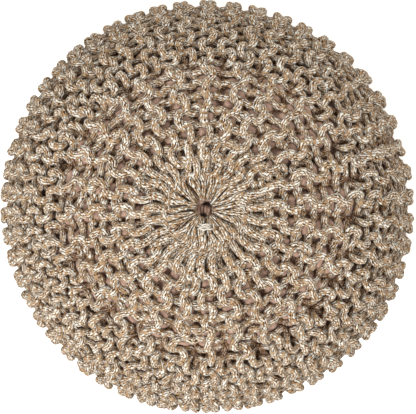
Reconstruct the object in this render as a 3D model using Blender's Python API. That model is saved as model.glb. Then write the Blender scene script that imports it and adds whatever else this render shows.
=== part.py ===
"""Knitted pouf: a garter-stitch yarn cover drawn in round a small eye on top, over a stuffed cloth casing.

Metres, +Z up. The origin is the centre of the footprint, on the surface that the pouf rests on.
Azimuths run anticlockwise from +X, seen from above.
"""
import math

import bmesh
import bpy
import numpy as np

# --- driving dimensions (metres) ---
DIAMETER = 0.500           # across the crowns of the ribs
HEIGHT = 0.350             # floor to the highest rib
GIRTH_Z = 0.157            # height of the widest ring, below the middle because the filling sags
UPPER_FULLNESS = 2.7       # superellipse exponent of the crown
LOWER_FULLNESS = 2.8       # and of the side below the girth
FLOOR_PRESS = 0.014        # how far the weight presses the underside flat

EYE_RADIUS = 0.010         # the small hole that the rows are gathered round
EYE_SHIFT = (-0.0040, -0.0025)   # the eye sits a little off the middle of the pouf
EYE_SHIFT_FADE = 0.150     # and the rows round it come back to the middle over this radius
DIMPLE = 0.012             # the gathering draws the top in by this much
DIMPLE_RADIUS = 0.034

RIBS = 54                  # garter ridges counted round the rim
SHORT_ROW_RADIUS = 0.163   # every second ridge turns back here and never reaches the eye
TURN_LENGTH = 0.008        # half the length over which its rib dies away there
RIB_RELIEF = 0.0070        # crown of a rib to the bottom of the furrow beside it
RIB_ROUNDNESS = 1.7        # above 1 the crown is broad and the furrow narrow
KNIT_THICKNESS = 0.019     # two yarns
GATHER_THICKNESS = 0.007   # extra thickness where the rows crowd together at the eye
GATHER_RADIUS = 0.045
SEAM_RIB = 2               # the last row is sewn to the first one in the furrow after this rib
SEAM_EXTRA_DEPTH = 0.002
RIB_RUNOUT = 1.0 / 6.0     # share of the side, above the floor, over which the ribs are pressed flat

FIT_GAP = 0.0003           # clearance between touching pieces
CASING_PUCKER = 0.007      # the casing swells this far up into the eye
LEVEL_RADIUS = 0.036       # the casing is level inside this radius, under the gathered eye

TIE_DIAMETER = 0.0048      # the strand that crosses the drawn-in rows beside the eye
TIE_HALF_SPAN = 0.0095
TIE_FROM_EYE = (0.0030, -0.0225)
TIE_BOW = 0.0012
TIE_STEPS = 8

# --- slow unevenness of the rib spacing round the rim: waves per turn, swing and phase in degrees ---
SPACING_WAVES = (
    {"waves": 1, "swing": 4.3, "phase": -129.0},
    {"waves": 2, "swing": 0.9, "phase": -154.0},
    {"waves": 5, "swing": 0.4, "phase": -150.0},
)
FIRST_RIB_AZIMUTH = 6.5
RIM_WAVES = (
    {"waves": 2, "swing": 0.0004, "phase": 39.0},
    {"waves": 4, "swing": 0.0010, "phase": 162.0},
    {"waves": 5, "swing": 0.0006, "phase": -168.0},
)

# --- sections of the cover's top, from the eye outwards, where only the long rows reach ---
TOP_SECTIONS = (
    {"radius": EYE_RADIUS, "sunk": 0.0075, "relief": 0.0010},
    {"radius": 0.0135, "sunk": 0.0018, "relief": 0.0022},
    {"radius": 0.0240, "sunk": 0.0, "relief": 0.0036},
    {"radius": 0.0420, "sunk": 0.0, "relief": 0.0050},
    {"radius": 0.0660, "sunk": 0.0, "relief": 0.0062},
    {"radius": 0.0960, "sunk": 0.0, "relief": 0.0070},
    {"radius": 0.1280, "sunk": 0.0, "relief": 0.0070},
    {"radius": 0.1560, "sunk": 0.0, "relief": 0.0064},
)
CASING_PUCKER_SECTIONS = (
    {"radius": 0.0042, "rise": 0.8 * CASING_PUCKER},
    {"radius": 0.0085, "rise": 0.0},
)
SIDE_SECTIONS = 13         # from the turn of the short rows on top to the turn on the underside
LINING_SECTIONS = 9        # the same stretch on the inner side of the cover
TOP_LINING_RADII = (0.066, 0.105, 0.140)
UNDERSIDE_LINING_RADIUS = 0.075

POINTS_PER_RIB = 4         # crown, flank, furrow, flank
LINING_POINTS = 54
PROFILE_STEPS = 2400
SLOPE_SPAN = 0.002         # the meridian's slope is read over this much each way

YARN_COLOUR = (0.36, 0.26, 0.18, 1.0)
CASING_COLOUR = (0.30, 0.21, 0.17, 1.0)


def wave_sum(waves, azimuth):
    """Add up slow waves round the pouf at an azimuth in radians."""
    return sum(w["swing"] * math.cos(w["waves"] * azimuth + math.radians(w["phase"])) for w in waves)


def rib_azimuth(rib):
    """Azimuth in radians of a rib, or of a place between two ribs when rib isn't whole."""
    even = 2.0 * math.pi * rib / RIBS
    return even + math.radians(FIRST_RIB_AZIMUTH + wave_sum(SPACING_WAVES, even))


class Profile:
    """The meridian through the crowns of the ribs, from the top's middle over the side to the base."""

    def __init__(self):
        turn = np.linspace(0.0, math.pi, PROFILE_STEPS)
        upper = turn <= math.pi / 2.0
        fullness = np.where(upper, UPPER_FULLNESS, LOWER_FULLNESS)
        reach = np.where(upper, HEIGHT - GIRTH_Z, GIRTH_Z + FLOOR_PRESS)
        self.r = DIAMETER / 2.0 * np.abs(np.sin(turn)) ** (2.0 / fullness)
        rise = np.sign(np.cos(turn)) * np.abs(np.cos(turn)) ** (2.0 / fullness)
        self.z = np.maximum(GIRTH_Z + reach * rise, 0.0)
        self.z -= np.where(upper, DIMPLE * np.exp(-(self.r / DIMPLE_RADIUS) ** 2), 0.0)
        self.z += np.where(upper, (HEIGHT - self.z.max()) * rise, 0.0)
        self.length = np.concatenate(([0.0], np.cumsum(np.hypot(np.diff(self.r), np.diff(self.z)))))

    def at(self, length):
        """Radius, height and outward normal (radial, vertical) at a length along the meridian."""
        places = (length - SLOPE_SPAN, length, length + SLOPE_SPAN)
        radii = [float(np.interp(place, self.length, self.r)) for place in places]
        heights = [float(np.interp(place, self.length, self.z)) for place in places]
        run, fall = radii[2] - radii[0], heights[2] - heights[0]
        size = math.hypot(run, fall) or 1.0
        return radii[1], heights[1], (-fall / size, run / size)

    def length_at_radius(self, radius, underside=False):
        """Length along the meridian where it has this radius, on the top or on the underside."""
        middle = int(np.argmax(self.r))
        if underside:
            return float(np.interp(radius, self.r[:middle:-1], self.length[:middle:-1]))
        return float(np.interp(radius, self.r[:middle], self.length[:middle]))

    def contact_radius(self):
        """Radius of the flat that the weight presses on the underside."""
        return float(self.r[self.z <= 0.0].max())


PROFILE = Profile()


def eye_shift(radius, height):
    """How far a ring of the top is moved sideways, so that the rows run to the eye."""
    if height < GIRTH_Z:
        return 0.0, 0.0
    share = max(0.0, 1.0 - (radius / EYE_SHIFT_FADE) ** 2)
    return EYE_SHIFT[0] * share, EYE_SHIFT[1] * share


def knit_thickness(radius, height):
    """Thickness of the knit, which grows where the rows are gathered at the eye."""
    gathered = math.exp(-(radius / GATHER_RADIUS) ** 2) if height > GIRTH_Z else 0.0
    return KNIT_THICKNESS + GATHER_THICKNESS * gathered


def relief_on_side(share):
    """Rib relief on the side: full all the way, and gone where the underside meets the floor."""
    return RIB_RELIEF * min(1.0, (1.0 - share) / RIB_RUNOUT)


def furrow_depth(point, points_per_turn, relief):
    """Depth below the crowns at one point of a section, with the seam's furrow a little deeper."""
    rib = point * RIBS / points_per_turn
    long_rows_only = points_per_turn < RIBS * POINTS_PER_RIB
    wave = rib / 2.0 if long_rows_only else rib
    depth = relief * ((1.0 - math.cos(2.0 * math.pi * wave)) / 2.0) ** RIB_ROUNDNESS
    furrow_after_seam = (SEAM_RIB + 1.0) if long_rows_only else (SEAM_RIB + 0.5)
    if relief > 0.0 and abs(rib - furrow_after_seam) < 0.01:
        depth += SEAM_EXTRA_DEPTH * relief / RIB_RELIEF
    return depth


def outer_section(bm, length, points_per_turn, relief, sunk=0.0):
    """One ring of points on the ribbed outer face."""
    radius, height, normal = PROFILE.at(length)
    shift = eye_shift(radius, height)
    ring = []
    for point in range(points_per_turn):
        azimuth = rib_azimuth(point * RIBS / points_per_turn)
        depth = sunk + furrow_depth(point, points_per_turn, relief)
        swell = wave_sum(RIM_WAVES, azimuth) * (radius / (DIAMETER / 2.0)) ** 3
        out = radius - depth * normal[0] + swell
        x = shift[0] + out * math.cos(azimuth)
        y = shift[1] + out * math.sin(azimuth)
        z = max(0.0, height - depth * normal[1])
        ring.append(bm.verts.new((x, y, z)))
    return ring


def plain_section(bm, radius, height, centre=(0.0, 0.0)):
    """One level ring of evenly spaced points."""
    ring = []
    for point in range(LINING_POINTS):
        azimuth = 2.0 * math.pi * point / LINING_POINTS
        x = centre[0] + radius * math.cos(azimuth)
        y = centre[1] + radius * math.sin(azimuth)
        ring.append(bm.verts.new((x, y, height)))
    return ring


def lining_stations():
    """Lengths along the meridian of the sections of the cover's inner face, top to base."""
    top = [PROFILE.length_at_radius(radius) for radius in TOP_LINING_RADII]
    underside = PROFILE.length_at_radius(PROFILE.contact_radius(), underside=True)
    side_start = PROFILE.length_at_radius(SHORT_ROW_RADIUS)
    side = [side_start + (underside - side_start) * k / LINING_SECTIONS for k in range(LINING_SECTIONS + 1)]
    return top + side


def level_height(inset):
    """Height of the level disc under the gathered eye, inset below the cover's inner face."""
    return HEIGHT - DIMPLE - KNIT_THICKNESS - GATHER_THICKNESS - inset


def lining_rings(bm, inset):
    """Sections of the surface that lies inset below the cover's inner face, top to base."""
    rings = [plain_section(bm, LEVEL_RADIUS, level_height(inset))]
    for length in lining_stations():
        radius, height, normal = PROFILE.at(length)
        depth = knit_thickness(radius, height) + inset
        low = KNIT_THICKNESS + inset
        rings.append(plain_section(bm, radius - depth * normal[0], max(low, height - depth * normal[1])))
    rings.append(plain_section(bm, UNDERSIDE_LINING_RADIUS, KNIT_THICKNESS + inset))
    return rings


def join_equal(bm, ring_a, ring_b):
    """Quads between two rings with the same number of points."""
    count = len(ring_a)
    for k in range(count):
        after = (k + 1) % count
        bm.faces.new((ring_a[k], ring_b[k], ring_b[after], ring_a[after]))


def join_doubled(bm, sparse, dense):
    """Three triangles a step between a ring and one with twice as many points."""
    count = len(sparse)
    for k in range(count):
        after = (k + 1) % count
        first, middle, last = dense[2 * k], dense[2 * k + 1], dense[(2 * k + 2) % len(dense)]
        bm.faces.new((sparse[k], first, middle))
        bm.faces.new((sparse[k], middle, sparse[after]))
        bm.faces.new((sparse[after], middle, last))


def close_ring(bm, ring, centre):
    """A fan of triangles from a ring to its middle."""
    middle = bm.verts.new(centre)
    for k in range(len(ring)):
        bm.faces.new((ring[k], ring[(k + 1) % len(ring)], middle))


def join_wall(bm, ribbed, plain):
    """The wall of the eye, from the ribbed lip down to the coarser inner face, matched by azimuth."""
    middle_x = sum(v.co.x for v in ribbed) / len(ribbed)
    middle_y = sum(v.co.y for v in ribbed) / len(ribbed)

    def turn_of(vert, start):
        angle = math.atan2(vert.co.y - middle_y, vert.co.x - middle_x)
        return (angle - start) % (2.0 * math.pi)

    start = math.atan2(ribbed[0].co.y - middle_y, ribbed[0].co.x - middle_x)
    first_plain = min(range(len(plain)), key=lambda k: turn_of(plain[k], start))
    lower = plain[first_plain:] + plain[:first_plain]
    upper_step, lower_step = 0, 0
    while upper_step < len(ribbed) or lower_step < len(lower):
        upper_next = ribbed[(upper_step + 1) % len(ribbed)]
        lower_next = lower[(lower_step + 1) % len(lower)]
        upper_now = ribbed[upper_step % len(ribbed)]
        lower_now = lower[lower_step % len(lower)]
        upper_share = (upper_step + 1) / len(ribbed)
        lower_share = (lower_step + 1) / len(lower)
        if lower_step >= len(lower) or (upper_step < len(ribbed) and upper_share <= lower_share):
            bm.faces.new((upper_now, upper_next, lower_now))
            upper_step += 1
        else:
            bm.faces.new((upper_now, lower_next, lower_now))
            lower_step += 1


def ribbed_face(bm):
    """The cover's outer face: long rows round the eye, all rows on the side, a flat underside."""
    sparse_points = RIBS * POINTS_PER_RIB // 2
    dense_points = RIBS * POINTS_PER_RIB
    top = []
    for section in TOP_SECTIONS:
        length = PROFILE.length_at_radius(section["radius"])
        top.append(outer_section(bm, length, sparse_points, section["relief"], section["sunk"]))
    for ring_a, ring_b in zip(top, top[1:]):
        join_equal(bm, ring_a, ring_b)

    start = PROFILE.length_at_radius(SHORT_ROW_RADIUS) + TURN_LENGTH
    contact = PROFILE.length_at_radius(PROFILE.contact_radius(), underside=True)
    side = []
    for k in range(SIDE_SECTIONS):
        share = k / SIDE_SECTIONS
        side.append(outer_section(bm, start + (contact - start) * share, dense_points, relief_on_side(share)))
    join_doubled(bm, top[-1], side[0])
    for ring_a, ring_b in zip(side, side[1:]):
        join_equal(bm, ring_a, ring_b)

    foot = outer_section(bm, contact, sparse_points, 0.0)
    join_doubled(bm, foot, side[-1])
    close_ring(bm, foot, (0.0, 0.0, 0.0))
    return top[0]


def make_cover():
    """The knitted cover: a shell open at the eye, with its ribs raised in the outer face."""
    bm = bmesh.new()
    lip = ribbed_face(bm)
    wall_foot = plain_section(bm, EYE_RADIUS, level_height(0.0), EYE_SHIFT)
    join_wall(bm, lip, wall_foot)
    rings = [wall_foot] + lining_rings(bm, 0.0)
    for ring_a, ring_b in zip(rings, rings[1:]):
        join_equal(bm, ring_a, ring_b)
    close_ring(bm, rings[-1], (0.0, 0.0, KNIT_THICKNESS))
    return bm


def make_casing():
    """The stuffed cloth casing: fills the cover and swells a little way up into the eye."""
    bm = bmesh.new()
    level = level_height(FIT_GAP)
    rings = []
    for section in CASING_PUCKER_SECTIONS:
        rings.append(plain_section(bm, section["radius"], level + section["rise"], EYE_SHIFT))
    rings += lining_rings(bm, FIT_GAP)
    for ring_a, ring_b in zip(rings, rings[1:]):
        join_equal(bm, ring_a, ring_b)
    close_ring(bm, rings[0], (EYE_SHIFT[0], EYE_SHIFT[1], level + CASING_PUCKER))
    close_ring(bm, rings[-1], (0.0, 0.0, KNIT_THICKNESS + FIT_GAP))
    return bm


def yarn_material(name, colour, roughness):
    """A plain dull material in the yarn's or the cloth's colour."""
    material = bpy.data.materials.new(name)
    material.use_nodes = True
    shader = material.node_tree.nodes["Principled BSDF"]
    shader.inputs["Base Color"].default_value = colour
    shader.inputs["Roughness"].default_value = roughness
    shader.inputs["Metallic"].default_value = 0.0
    return material


def add_solid(name, bm, material, collection):
    """Turn a finished bmesh into a named object with all its faces pointing out."""
    bmesh.ops.recalc_face_normals(bm, faces=bm.faces)
    mesh = bpy.data.meshes.new(name)
    bm.to_mesh(mesh)
    bm.free()
    mesh.materials.append(material)
    mesh.shade_smooth()
    solid = bpy.data.objects.new(name, mesh)
    collection.objects.link(solid)
    return solid


def add_tie(name, material, collection):
    """The short strand across the gathered rows, resting on the crowns beside the eye."""
    curve = bpy.data.curves.new(name, "CURVE")
    curve.dimensions = "3D"
    curve.bevel_depth = TIE_DIAMETER / 2.0
    curve.bevel_resolution = 2
    curve.use_fill_caps = True
    spline = curve.splines.new("POLY")
    spline.points.add(TIE_STEPS)
    for k in range(TIE_STEPS + 1):
        along = 2.0 * k / TIE_STEPS - 1.0
        x = EYE_SHIFT[0] + TIE_FROM_EYE[0] + TIE_HALF_SPAN * along
        y = EYE_SHIFT[1] + TIE_FROM_EYE[1] - TIE_BOW * (1.0 - along * along)
        radius = math.hypot(x - EYE_SHIFT[0], y - EYE_SHIFT[1])
        _, crown, normal = PROFILE.at(PROFILE.length_at_radius(radius))
        clear = TIE_DIAMETER / 2.0 + FIT_GAP
        spline.points[k].co = (x, y, crown + clear / normal[1], 1.0)
    strand = bpy.data.objects.new(name, curve)
    strand.data.materials.append(material)
    collection.objects.link(strand)
    return strand


def main():
    """Build the pouf in an emptied scene."""
    for item in list(bpy.context.scene.objects):
        bpy.data.objects.remove(item, do_unlink=True)
    collection = bpy.data.collections.new("knitted_pouf")
    bpy.context.scene.collection.children.link(collection)

    yarn = yarn_material("knit_yarn", YARN_COLOUR, 0.85)
    cloth = yarn_material("casing_cloth", CASING_COLOUR, 0.9)
    add_solid("knitted_cover", make_cover(), yarn, collection)
    add_solid("inner_casing", make_casing(), cloth, collection)
    add_tie("closing_yarn", yarn, collection)


main()
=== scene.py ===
"""Looks of the knitted pouf: garter-stitch yarn, the cloth casing behind it, and the floor, light and camera.

Metres, +Z up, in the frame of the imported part. Azimuths run anticlockwise from +X, seen from above. Depth is
measured along the outward normal from the surface that the crests of the knit touch, and is negative inwards.
"""
import logging
import math
from dataclasses import dataclass, field
from enum import Enum

import bpy
import numpy as np
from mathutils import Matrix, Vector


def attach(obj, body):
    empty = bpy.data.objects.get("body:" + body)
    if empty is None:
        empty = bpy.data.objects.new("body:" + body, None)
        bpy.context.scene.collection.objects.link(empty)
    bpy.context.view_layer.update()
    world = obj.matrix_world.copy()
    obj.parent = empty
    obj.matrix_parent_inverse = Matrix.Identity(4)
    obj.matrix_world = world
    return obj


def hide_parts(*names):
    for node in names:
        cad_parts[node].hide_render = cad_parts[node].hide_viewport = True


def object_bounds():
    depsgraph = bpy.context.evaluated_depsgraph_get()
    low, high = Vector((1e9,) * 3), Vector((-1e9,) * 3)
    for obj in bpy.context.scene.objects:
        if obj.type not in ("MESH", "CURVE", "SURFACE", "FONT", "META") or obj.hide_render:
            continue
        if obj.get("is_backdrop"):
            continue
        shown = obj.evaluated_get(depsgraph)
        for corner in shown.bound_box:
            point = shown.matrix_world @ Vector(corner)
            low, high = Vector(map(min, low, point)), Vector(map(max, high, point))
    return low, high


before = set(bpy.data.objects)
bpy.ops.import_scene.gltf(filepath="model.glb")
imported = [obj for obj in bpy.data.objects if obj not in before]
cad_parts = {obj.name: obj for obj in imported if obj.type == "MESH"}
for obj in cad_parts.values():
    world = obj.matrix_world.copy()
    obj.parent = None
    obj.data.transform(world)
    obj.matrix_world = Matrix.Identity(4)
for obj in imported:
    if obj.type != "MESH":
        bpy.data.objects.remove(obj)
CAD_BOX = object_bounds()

LOG = logging.getLogger("knitted_pouf")

Colour = tuple[float, float, float]
FULL_TURN = 2.0 * math.pi
SHORTEST = 1e-12
MM_PER_M = 1000.0
MIX_FIRST, MIX_SECOND, MIX_RESULT = 6, 7, 2
STRAND_UV = "strand"
BAKE_UV = "OFBake"
SUNK = "sunk"
DRAWN = "drawn"


def smooth_step(share: np.ndarray | float) -> np.ndarray:
    """Ease a share from 0 to 1, flat at both ends.

    Args:
        share: values that are clipped to 0..1.

    Returns:
        The eased values.
    """
    held = np.clip(share, 0.0, 1.0)
    return held * held * (3.0 - 2.0 * held)


def unit_vectors(vectors: np.ndarray) -> np.ndarray:
    """Scale each row of an array to length one.

    Args:
        vectors: array of shape (n, 3).

    Returns:
        The unit vectors, of the same shape.
    """
    return vectors / np.maximum(np.linalg.norm(vectors, axis=1, keepdims=True), SHORTEST)


@dataclass(frozen=True)
class Wave:
    """One slow swing round the pouf."""

    count: int
    swing: float
    phase: float

    def at(self, azimuth: np.ndarray) -> np.ndarray:
        """Value of the wave at azimuths in radians."""
        return self.swing * np.cos(self.count * azimuth + math.radians(self.phase))


def wave_sum(waves: tuple[Wave, ...], azimuth: np.ndarray) -> np.ndarray:
    """Add up several waves at azimuths in radians."""
    return sum(wave.at(azimuth) for wave in waves)


@dataclass
class PoufForm:
    """The stuffed shape: a meridian turned round the eye, with its slow unevenness.

    The meridian starts deep in the eye, comes up over the lip, runs out over the crown, down the side and in
    under the base, and ends by turning up into the small gather in the middle of the underside.
    """

    diameter: float = 0.500
    height: float = 0.350
    girth_height: float = 0.157
    upper_fullness: float = 2.7
    lower_fullness: float = 2.8
    floor_press: float = 0.014
    dimple: float = 0.012
    dimple_radius: float = 0.034
    turn_under_radius: float = 0.200
    eye_shift: tuple[float, float] = (-0.0040, -0.0025)
    eye_shift_fade: float = 0.150
    lip_start: float = 0.0150
    lip_roll: float = 0.0088
    eye_depth: float = 0.024
    gather_start: float = 0.020
    gather_roll: float = 0.008
    gather_height: float = 0.012
    rim_waves: tuple[Wave, ...] = (
        Wave(2, 0.0004, 39.0),
        Wave(4, 0.0010, 162.0),
        Wave(5, 0.0006, -168.0),
    )
    crown_steps: int = 2400
    lip_steps: int = 40
    gather_steps: int = 20
    slope_steps: int = 4
    soften_reach: int = 5
    wall_slack: float = 1e-5
    step: float = 0.0005
    radii: np.ndarray = field(init=False)
    heights: np.ndarray = field(init=False)
    lengths: np.ndarray = field(init=False)
    normals: np.ndarray = field(init=False)

    def __post_init__(self) -> None:
        """Work out the meridian and its normals."""
        radii, heights = self._crown_and_base()
        eye_r, eye_z = self._roll_into_eye(radii, heights)
        gather_r, gather_z = self._roll_into_gather()
        radii = np.concatenate((eye_r, radii, gather_r))
        heights = np.concatenate((eye_z, heights, gather_z))
        along = np.concatenate(([0.0], np.cumsum(np.hypot(np.diff(radii), np.diff(heights)))))
        self.lengths = np.arange(0.0, along[-1], self.step)
        self.radii = np.interp(self.lengths, along, radii)
        self.heights = np.interp(self.lengths, along, heights)
        run = np.gradient(self._soften(self.radii))
        rise = np.gradient(self._soften(self.heights))
        size = np.hypot(run, rise)
        self.normals = np.stack((-rise / size, run / size), axis=1)

    def _soften(self, values: np.ndarray) -> np.ndarray:
        """Average each value with its neighbours, so that the normals turn evenly.

        Args:
            values: radii or heights along the meridian.

        Returns:
            As many values, softened.
        """
        window = 2 * self.soften_reach + 1
        padded = np.pad(values, self.soften_reach, mode="reflect", reflect_type="odd")
        return np.convolve(padded, np.ones(window) / window, mode="valid")

    def _crown_and_base(self) -> tuple[np.ndarray, np.ndarray]:
        """Work out the meridian from the lip of the eye to the edge of the gather underneath.

        Returns:
            Radii and heights.
        """
        turn = np.linspace(0.0, math.pi, self.crown_steps)
        upper = turn <= math.pi / 2.0
        fullness = np.where(upper, self.upper_fullness, self.lower_fullness)
        reach = np.where(upper, self.height - self.girth_height, self.girth_height + self.floor_press)
        radii = self.diameter / 2.0 * np.abs(np.sin(turn)) ** (2.0 / fullness)
        rise = np.sign(np.cos(turn)) * np.abs(np.cos(turn)) ** (2.0 / fullness)
        heights = np.maximum(self.girth_height + reach * rise, 0.0)
        heights -= np.where(upper, self.dimple * np.exp(-((radii / self.dimple_radius) ** 2)), 0.0)
        heights += np.where(upper, (self.height - heights.max()) * rise, 0.0)
        kept = np.where(upper, radii >= self.lip_start, radii >= self.gather_start)
        return radii[kept], heights[kept]

    def _roll_into_eye(self, radii: np.ndarray, heights: np.ndarray) -> tuple[np.ndarray, np.ndarray]:
        """Work out the wall of the eye from its foot upwards and its rounded lip, which join the crown.

        Args:
            radii: radii of the crown, from the lip outwards.
            heights: its heights.

        Returns:
            Radii and heights of the wall and the lip.
        """
        ahead = self.slope_steps
        slope = math.atan2(heights[ahead] - heights[0], radii[ahead] - radii[0])
        turn = np.linspace(math.pi / 2.0, slope, self.lip_steps)[:-1]
        roll_r = radii[0] - self.lip_roll * (math.sin(math.pi / 2.0) - math.sin(slope))
        lip_r = roll_r + self.lip_roll * (1.0 - np.sin(turn))
        lip_z = heights[0] - self.lip_roll * (math.cos(slope) - np.cos(turn))
        wall_z = np.arange(lip_z[0] - self.eye_depth, lip_z[0], self.step)
        return np.concatenate((np.full(len(wall_z), lip_r[0]), lip_r)), np.concatenate((wall_z, lip_z))

    def _roll_into_gather(self) -> tuple[np.ndarray, np.ndarray]:
        """Work out the turn up into the pouf in the middle of the underside.

        Returns:
            Radii and heights.
        """
        turn = np.linspace(0.0, math.pi / 2.0, self.gather_steps)[1:]
        roll_r = self.gather_start - self.gather_roll * np.sin(turn)
        roll_z = self.gather_roll * (1.0 - np.cos(turn))
        wall_z = np.arange(roll_z[-1] + self.step, roll_z[-1] + self.gather_height, self.step)
        return np.concatenate((roll_r, np.full(len(wall_z), roll_r[-1]))), np.concatenate((roll_z, wall_z))

    def radius_at(self, length: np.ndarray) -> np.ndarray:
        """Radius of the meridian at lengths along it."""
        return np.interp(length, self.lengths, self.radii)

    def length_at_radius(self, radius: float, underside: bool = False) -> float:
        """Length along the meridian where it has a radius.

        Args:
            radius: distance from the axis.
            underside: whether the place is below the widest ring.

        Returns:
            The length along the meridian.
        """
        widest = int(np.argmax(self.radii))
        if underside:
            return float(np.interp(radius, self.radii[:widest:-1], self.lengths[:widest:-1]))
        outward = self.radii[:widest]
        start = int(np.argmin(outward))
        wall = int(np.searchsorted(outward[start:], self.radii.min() + self.wall_slack)) + start
        return float(np.interp(radius, outward[wall:], self.lengths[wall:widest]))

    def turn_under(self) -> float:
        """Length along the meridian where the side has turned under and is no longer seen closely."""
        return self.length_at_radius(self.turn_under_radius, underside=True)

    def place(
        self, length: np.ndarray, azimuth: np.ndarray, depth: np.ndarray
    ) -> tuple[np.ndarray, np.ndarray]:
        """Points on the form, with the outward normals there.

        Args:
            length: lengths along the meridian.
            azimuth: azimuths in radians.
            depth: distance along the normal, negative inwards.

        Returns:
            Points and normals, both of shape (n, 3).
        """
        radius = np.interp(length, self.lengths, self.radii)
        height = np.interp(length, self.lengths, self.heights)
        normal_r = np.interp(length, self.lengths, self.normals[:, 0])
        normal_z = np.interp(length, self.lengths, self.normals[:, 1])
        fade = np.maximum(0.0, 1.0 - (radius / self.eye_shift_fade) ** 2) * (height > self.girth_height)
        swell = wave_sum(self.rim_waves, azimuth) * (radius / (self.diameter / 2.0)) ** 3
        out = radius + depth * normal_r + swell
        points = np.stack(
            (
                self.eye_shift[0] * fade + out * np.cos(azimuth),
                self.eye_shift[1] * fade + out * np.sin(azimuth),
                height + depth * normal_z,
            ),
            axis=1,
        )
        normals = np.stack((normal_r * np.cos(azimuth), normal_r * np.sin(azimuth), normal_z), axis=1)
        return points, unit_vectors(normals)


class Row(Enum):
    """The two rows that make up one garter ridge."""

    KNIT = "knit"
    PURL = "purl"


@dataclass
class RidgePlan:
    """Where the garter ridges lie round the pouf, and where the short ones turn back."""

    form: PoufForm
    ridges: int = 54
    first_azimuth: float = 6.5
    spacing_waves: tuple[Wave, ...] = (Wave(1, 4.3, -129.0), Wave(2, 0.9, -154.0), Wave(5, 0.4, -150.0))
    turn_radius: float = 0.163
    spread_before: float = 0.010
    spread_after: float = 0.016
    seam_ridge: int = 2
    seam_start: float = 0.085

    def azimuth(self, ridge: np.ndarray | float) -> np.ndarray:
        """Azimuth in radians of a ridge, or of a place between two ridges when ridge isn't whole."""
        even = FULL_TURN * np.asarray(ridge) / self.ridges
        return even + np.radians(self.first_azimuth + wave_sum(self.spacing_waves, even))

    def is_short(self, ridge: int) -> bool:
        """Whether a ridge turns back before the eye and before the underside's middle."""
        return ridge % 2 == 1

    def spread(self, length: np.ndarray) -> np.ndarray:
        """Work out how far the short ridges have opened between the long ones.

        Args:
            length: lengths along the meridian.

        Returns:
            The shares: 0 where there are no short ridges, 1 on the side.
        """
        top = self.form.length_at_radius(self.turn_radius)
        foot = self.form.length_at_radius(self.turn_radius, underside=True)
        reach = self.spread_before + self.spread_after
        opened = smooth_step((length - (top - self.spread_before)) / reach)
        closed = smooth_step(((foot + self.spread_before) - length) / reach)
        return opened * closed

    def row_edges(self, ridge: int, row: Row, length: np.ndarray) -> tuple[np.ndarray, np.ndarray]:
        """The two lines between which a row lies.

        Args:
            ridge: number of the ridge.
            row: which of its two rows.
            length: lengths along the meridian.

        Returns:
            Azimuths of the row's start and end, in radians.
        """
        half = 0.5 * self.spread(length)
        furrow = half if self.is_short(ridge) else 1.0 - half
        crest = np.full(len(length), float(self.azimuth(ridge)))
        if row is Row.KNIT:
            return self.azimuth(ridge - furrow), crest
        return crest, self.azimuth(ridge + furrow)


@dataclass(frozen=True)
class PitchMark:
    """Length of a stitch at one radius of the top."""

    radius: float
    pitch: float


@dataclass(frozen=True)
class ShiftMark:
    """How many stitches further out the stitches lie at one azimuth, in degrees from the seam to the seam."""

    azimuth: float
    shift: float


@dataclass
class StitchPlan:
    """How long the stitches are along the meridian: long round the eye, even on the side."""

    form: PoufForm
    marks: tuple[PitchMark, ...] = (
        PitchMark(0.012, 0.050),
        PitchMark(0.050, 0.042),
        PitchMark(0.080, 0.038),
        PitchMark(0.108, 0.037),
        PitchMark(0.128, 0.032),
        PitchMark(0.145, 0.0305),
        PitchMark(0.160, 0.0275),
        PitchMark(0.172, 0.0290),
        PitchMark(0.185, 0.0325),
        PitchMark(0.205, 0.0335),
    )
    side_pitch: float = 0.0325
    base_pitch: float = 0.034
    base_radius: float = 0.120
    shifts: tuple[ShiftMark, ...] = (
        ShiftMark(22.0, 0.0),
        ShiftMark(120.0, 0.0),
        ShiftMark(200.0, 0.24),
        ShiftMark(265.0, 0.50),
        ShiftMark(320.0, 0.34),
        ShiftMark(382.0, 0.33),
    )
    pitches: np.ndarray = field(init=False)
    counts: np.ndarray = field(init=False)

    def __post_init__(self) -> None:
        """Count the stitches along the meridian."""
        form = self.form
        marks = [(form.length_at_radius(mark.radius), mark.pitch) for mark in self.marks]
        marks.append((form.turn_under(), self.side_pitch))
        marks.append((form.length_at_radius(self.base_radius, underside=True), self.base_pitch))
        places, pitches = zip(*marks)
        self.pitches = np.interp(form.lengths, places, pitches)
        self.counts = np.concatenate(([0.0], np.cumsum(form.step / self.pitches[:-1])))

    def count_at(self, length: float) -> float:
        """Stitches from the foot of the eye to a length along the meridian."""
        return float(np.interp(length, self.form.lengths, self.counts))

    def length_at(self, count: np.ndarray) -> np.ndarray:
        """Length along the meridian after a number of stitches."""
        return np.interp(count, self.counts, self.form.lengths)

    def pitch_at(self, count: np.ndarray) -> np.ndarray:
        """Length of a stitch after a number of stitches."""
        return np.interp(count, self.counts, self.pitches)

    def shift_at(self, azimuth: np.ndarray | float) -> np.ndarray:
        """Work out how many stitches further out the stitches lie.

        Args:
            azimuth: azimuths in radians.

        Returns:
            The shifts, in stitches.
        """
        marks = [mark.azimuth for mark in self.shifts]
        turned = (np.degrees(azimuth) - marks[0]) % 360.0 + marks[0]
        return np.interp(turned, marks, [mark.shift for mark in self.shifts])


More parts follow.
